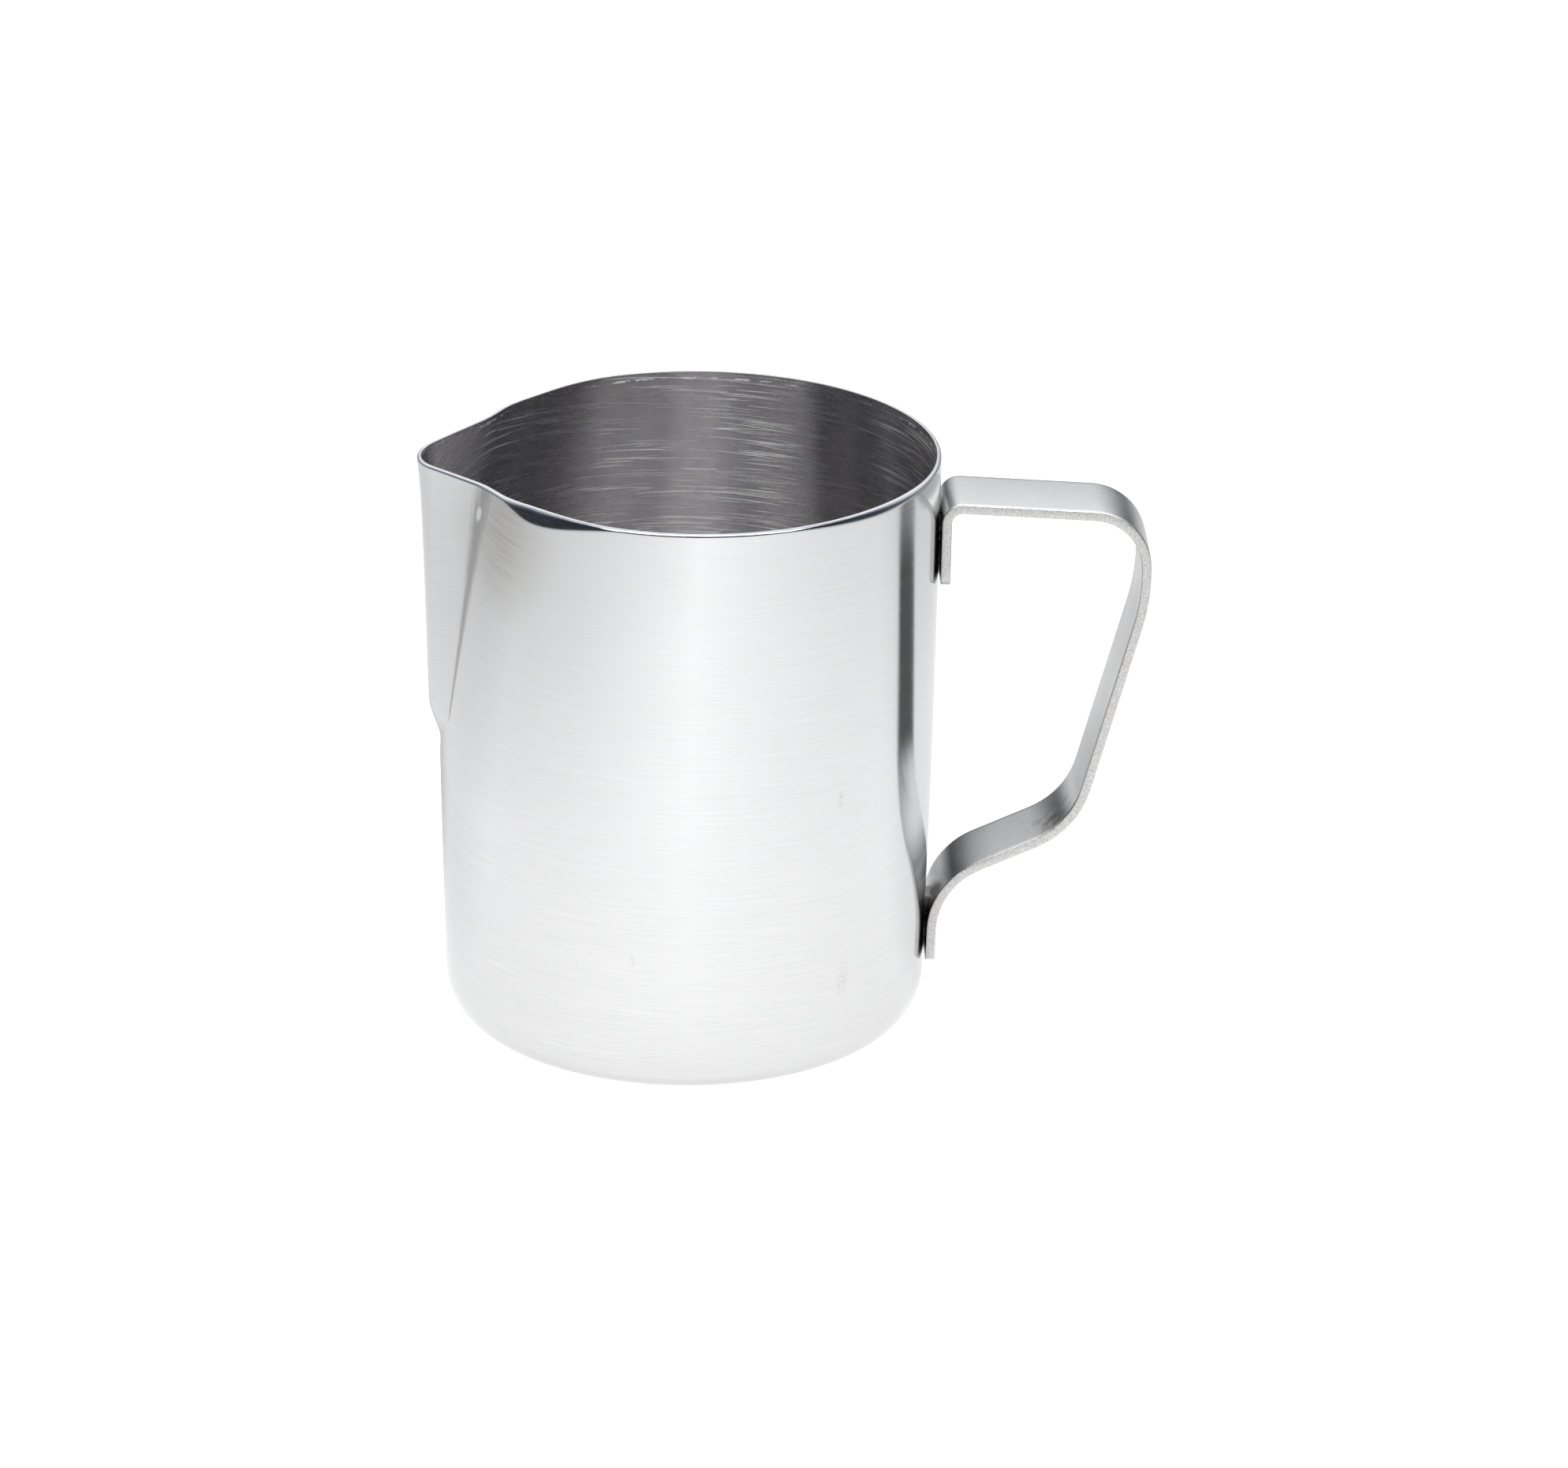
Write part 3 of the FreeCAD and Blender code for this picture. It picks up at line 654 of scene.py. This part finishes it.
def turned_steel(name, tint, roughness, streak, bump, scratches, spots, spot_colour, depth):
    """Stainless steel, brushed or turned round the body's axis.

    streak is how much the colour varies from line to line, and scratches how much shows of them.
    """
    t = Tree(name)
    fine = t.noise(turned_place(t, 4.0, 6500.0), 1.0, 2.0, 0.6)
    middle = t.noise(turned_place(t, 4.0, 2800.0), 1.0, 2.0, 0.6)
    broad = t.noise(turned_place(t, 0.8, 300.0), 1.0, 2.0, 0.5)
    lines = t.maths("ADD", t.maths("MULTIPLY", fine, 0.5),
                    t.maths("ADD", t.maths("MULTIPLY", middle, 0.4), t.maths("MULTIPLY", broad, 0.1)))
    height = t.parts(t.place())[2]
    marks = t.maths("MAXIMUM", long_scratches(t), polish_stop(t, height))
    colour = t.mix(t.remap(lines, 0.32, 0.68, 0.0, 1.0),
                   tuple(c * (1 - streak) for c in tint), tuple(min(c * (1 + streak), 1) for c in tint))
    colour = t.mix(t.maths("MULTIPLY", marks, scratches), colour, (0.93, 0.925, 0.91))
    patches = t.noise(t.place(), 22.0, 3.0, 0.55)
    rough = t.maths("ADD", t.remap(lines, 0.3, 0.7, roughness - 0.02, roughness + 0.02),
                    t.remap(patches, 0.3, 0.7, -0.02, 0.02))
    rough = t.maths("ADD", rough, t.maths("MULTIPLY", marks, 0.25 * scratches), clamp=True)
    colour = spot_marks(t, colour, spots, spot_colour, depth)
    # painted reflection: a darker patch on the skin beside the spout, for the reflection of darker
    # surroundings
    painted_dark_reflection = t.maths("MULTIPLY", around(t, DARK_REFLECTION_PLACE, DARK_REFLECTION_REACH), t.remap(lines, 0.38, 0.6, 0.45, 0.85))
    colour = t.mix(painted_dark_reflection, colour, (0.40, 0.385, 0.36))
    line, part = crease_line_with_painted_shade(t, height)
    dent_highlight = painted_dent_highlight(t, height)
    # painted shade: the crease's line is coloured darker, brownish low down and greyer higher up
    colour = t.mix(line, colour, t.mix(part, (0.33, 0.28, 0.22), (0.31, 0.31, 0.33)))
    # painted highlight: the dent's spot is coloured near white
    colour = t.mix(t.maths("MULTIPLY", dent_highlight, 0.85), colour, (0.9, 0.9, 0.9))
    rough = t.maths("ADD", rough, t.maths("MULTIPLY", t.maths("ADD", line, dent_highlight), 0.12), clamp=True)
    relief = t.maths("ADD", lines, t.maths("MULTIPLY", marks, 0.3))
    brushing = {"Anisotropic": 1.0, "Anisotropic Rotation": 0.25, "Tangent": turned_tangent(t)}
    return t.steel(colour, rough, t.bump(relief, bump, 0.0002), brushing)


def rim_steel():
    """The trimmed and deburred edge of the sheet."""
    t = Tree("steel_rim_edge")
    nicks = t.noise(turned_place(t, 30.0, 3000.0), 1.0, 2.0, 0.5)
    colour = t.mix(nicks, (0.50, 0.50, 0.51), (0.62, 0.62, 0.62))
    return t.steel(colour, t.remap(nicks, 0.3, 0.7, 0.32, 0.42), t.bump(nicks, 0.06, 0.0001))


def strip_steel():
    """The strip: satin faces with grain along the strip, painted shade on the inner face, a dark stain, and
    dull tumbled side faces.
    """
    t = Tree("steel_strip")
    place = t.place()
    grain = t.noise(t.vector("MULTIPLY", place, (250.0, 7000.0, 250.0)), 1.0, 3.0, 0.6)
    pits = t.noise(place, 2600.0, 3.0, 0.7)
    clouds = t.noise(place, 110.0, 3.0, 0.6)
    sideways = t.maths("ABSOLUTE", t.parts(t.node("ShaderNodeNewGeometry").outputs["Normal"])[1])
    side = t.remap(sideways, 0.55, 0.9, 0.0, 1.0, True)
    inner = t.node("ShaderNodeAttribute", attribute_name="inner").outputs["Fac"]
    # a stain near the low bend, where a finger rests
    stain = t.maths("MULTIPLY", around(t, STAIN_PLACE, STAIN_REACH),
                    t.remap(t.noise(place, 420.0, 4.0, 0.7), 0.47, 0.58, 0.0, 1.0, True))
    face_rough = t.maths("ADD", t.remap(grain, 0.3, 0.7, 0.16, 0.24), t.remap(clouds, 0.3, 0.7, -0.03, 0.04))
    rough = t.blend(side, face_rough, t.remap(pits, 0.3, 0.7, 0.45, 0.62))
    tones = t.remap(grain, 0.3, 0.7, 0.0, 1.0)
    outer_colour = t.mix(tones, (0.57, 0.57, 0.57), (0.66, 0.66, 0.655))
    # painted shade: the inner face, which faces the wall, is a darker copy of the outer face's colour
    shaded_inner_colour = t.mix(tones, (0.42, 0.42, 0.42), (0.50, 0.50, 0.495))
    # painted shade: the inner face is darker still in the bend that runs down to the wall, but not on the
    # feet
    out = t.parts(place)[0]
    painted_shade_near_wall = t.maths("MULTIPLY", t.remap(out, 0.048, 0.0575, 0.75, 0.0, True),
                        t.remap(out, 0.0478, 0.0488, 0.0, 1.0, True))
    shaded_inner_colour = t.mix(painted_shade_near_wall, shaded_inner_colour, (0.12, 0.12, 0.125))
    face_colour = t.mix(inner, outer_colour, shaded_inner_colour)
    face_colour = t.mix(t.maths("MULTIPLY", stain, 0.75), face_colour, (0.16, 0.155, 0.15))
    side_colour = t.mix(t.remap(pits, 0.38, 0.62, 0.0, 1.0), (0.50, 0.49, 0.475), (0.78, 0.775, 0.76))
    holes = t.remap(t.noise(place, 2600.0, 0.0, 0.5), 0.66, 0.72, 0.0, 0.4, True)
    side_colour = t.mix(holes, side_colour, (0.25, 0.24, 0.22))
    relief = t.blend(side, t.maths("MULTIPLY", grain, 0.25), pits)
    return t.steel(t.mix(side, face_colour, side_colour), rough, t.bump(relief, 0.2, 0.0002))


def shaded_weld_steel():
    """A weld nugget: dull, slightly heat tinted and darkened as painted shade of its crevice, with fine
    ripples.
    """
    t = Tree("weld_nugget_painted_shade")
    ripples = t.noise(t.place(), 1800.0, 3.0, 0.6)
    # painted shade: the colour is dark for the shade of the crevice between the strip's feet and the wall
    colour = t.mix(t.noise(t.place(), 300.0, 2.0, 0.5), (0.16, 0.155, 0.15), (0.26, 0.24, 0.21))
    return t.steel(colour, t.remap(ripples, 0.3, 0.7, 0.4, 0.65), t.bump(ripples, 0.5, 0.0002))


# ---------------------------------------------------------------- the pieces
def add(name, data):
    """A new object of a mesh, lamp or camera, in the scene."""
    piece = bpy.data.objects.new(name, data)
    scene.collection.objects.link(piece)
    return piece


body = add("pitcher_body_shell", body_mesh())
body.data.materials.append(turned_steel(
    "steel_outside", tint=(0.62, 0.62, 0.62), roughness=0.125, streak=0.042, bump=0.025, scratches=0.12,
    spots=SCUFFS, spot_colour=(0.30, 0.29, 0.27), depth=0.0))
body.data.materials.append(rim_steel())
# inside, the light marks beside the spout's fold are painted highlights
body.data.materials.append(turned_steel(
    "steel_inside", tint=(0.645, 0.63, 0.635), roughness=0.24, streak=0.05, bump=0.035, scratches=0.9,
    spots=INSIDE_PAINTED_HIGHLIGHTS, spot_colour=(0.93, 0.93, 0.93), depth=SHEET))
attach(body, "root")
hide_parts("pitcher_body")

grip = add("handle_strip", handle_mesh())
grip.data.materials.append(strip_steel())
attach(grip, "root")
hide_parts("handle")

shaded_weld_material = shaded_weld_steel()
for node in ("upper_spot_welds", "lower_spot_welds"):
    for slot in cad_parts[node].material_slots:
        slot.material = shaded_weld_material


# ---------------------------------------------------------------- studio
def floor_material():
    """Pale paper that lights itself: evenly to the camera, and less far out and near the body in the steel.

    From below it is clear, so that the underside can be looked at.
    """
    t = Tree("studio_floor")
    place = t.place()
    axes = t.parts(place)
    colour = t.mix(t.noise(place, 40.0, 3.0, 0.5), (0.29, 0.29, 0.29), (0.31, 0.31, 0.31))

    def side(axis, sign, reach, power):
        """Rises from 0 at the middle to 1 at a reach to one side."""
        value = t.maths("MAXIMUM", t.maths("MULTIPLY", axes[axis], sign / reach), 0.0)
        return t.maths("POWER", value, power)

    def shaded(lit, centre, inner, outer, least):
        """The light, falling to a least part of it around a centre."""
        away = t.vector("LENGTH", t.vector("SUBTRACT", place, centre))
        return t.maths("MULTIPLY", lit, t.remap(away, inner, outer, least, 1.0, True))

    left_right = t.maths("ADD", side(0, -1, 0.5, 1.1), side(0, 1, 0.62, 1.1))
    front_back = t.maths("ADD", side(1, -1, 0.95, 4.0), side(1, 1, 0.28, 1.0))
    lit = t.maths("DIVIDE", 1.0, t.maths("ADD", 1.0, t.maths("ADD", left_right, front_back)))
    lit = shaded(lit, (-0.03, 0.14, 0.0), 0.03, 0.10, 0.35)
    lit = shaded(lit, (0.0, 0.07, 0.0), 0.04, 0.17, 0.74)
    to_camera = t.node("ShaderNodeLightPath").outputs["Is Camera Ray"]
    paper = t.node("ShaderNodeBsdfPrincipled", {
        "Base Color": colour, "Roughness": 0.9, "Emission Color": (1, 1, 1, 1),
        "Emission Strength": t.blend(to_camera, t.maths("MULTIPLY", lit, 1.13), 0.92)}).outputs[0]
    below = t.node("ShaderNodeNewGeometry").outputs["Backfacing"]
    clear = t.node("ShaderNodeBsdfTransparent").outputs[0]
    return t.finish(t.node("ShaderNodeMixShader", {0: below, 1: paper, 2: clear}).outputs[0])


def studio_floor():
    bm = bmesh.new()
    bmesh.ops.create_grid(bm, x_segments=8, y_segments=8, size=4.0)
    floor = add("floor", mesh_from(bm, "floor"))
    floor.location.z = -0.00005            # just clear of the ring that stands on it
    floor.data.materials.append(floor_material())


def softbox(name, place, target, size, power):
    light = bpy.data.lights.new(name, "AREA")
    light.shape = "RECTANGLE"
    light.size, light.size_y = size
    light.energy = power
    lamp = add(name, light)
    lamp.location = place
    lamp.rotation_euler = (Vector(target) - Vector(place)).to_track_quat("-Z", "Y").to_euler()


def studio_world():
    """A dim room in front, brighter paper behind; plain white to the camera itself."""
    t = Tree("studio", "worlds")
    axes = t.parts(t.node("ShaderNodeTexCoord").outputs["Generated"])
    behind = t.remap(axes[1], 0.0, 0.7, 0.0, 1.0, True)
    paper = t.remap(axes[2], 0.0, 0.75, 0.05, 2.2, True)
    lit = t.maths("ADD", t.maths("MULTIPLY", behind, paper), 0.05)
    tint = t.mix(behind, (0.64, 0.78, 1.0), (0.97, 0.985, 1.0))
    room = t.node("ShaderNodeBackground", {"Color": tint, "Strength": lit}).outputs[0]
    white = t.node("ShaderNodeBackground", {"Color": (1, 1, 1, 1)}).outputs[0]
    to_camera = t.node("ShaderNodeLightPath").outputs["Is Camera Ray"]
    seen = t.node("ShaderNodeMixShader", {0: to_camera, 1: room, 2: white}).outputs[0]
    scene.world = t.finish(seen, "ShaderNodeOutputWorld")


studio_floor()
studio_world()
softbox("top_softbox", (0.0, -0.42, 0.95), (0, -0.1, 0.0), (1.5, 0.45), 12.5)

# ---------------------------------------------------------------- camera and picture
CAMERA_PLACE = Vector((-0.02126, -1.26549, 0.55018))
CAMERA_TURN, CAMERA_DOWN, CAMERA_ROLL = radians(1.7663), radians(21.4219), radians(0.7268)
CAMERA_LENS, CAMERA_SENSOR = 172.05, 36.0
CAMERA_NEAR, CAMERA_FAR = 0.05, 30.0


def photo_camera():
    """The camera where the photograph was taken from: turned, tilted down and slightly rolled."""
    forward = Vector((sin(CAMERA_TURN) * cos(CAMERA_DOWN), cos(CAMERA_TURN) * cos(CAMERA_DOWN),
                      -sin(CAMERA_DOWN)))
    right = Vector((cos(CAMERA_TURN), -sin(CAMERA_TURN), 0))
    up = right.cross(forward)
    across = right * cos(CAMERA_ROLL) + up * sin(CAMERA_ROLL)
    above = up * cos(CAMERA_ROLL) - right * sin(CAMERA_ROLL)
    data = bpy.data.cameras.new("camera")
    data.lens, data.sensor_width = CAMERA_LENS, CAMERA_SENSOR
    data.sensor_fit = "HORIZONTAL"
    data.clip_start, data.clip_end = CAMERA_NEAR, CAMERA_FAR
    camera = add("camera", data)
    columns = Matrix((across, above, -forward)).transposed()
    camera.matrix_world = Matrix.Translation(CAMERA_PLACE) @ columns.to_4x4()
    return camera


scene.camera = photo_camera()
scene.view_settings.view_transform = "Standard"
scene.view_settings.look = "None"
scene.cycles.max_bounces = 16
scene.cycles.glossy_bounces = 14
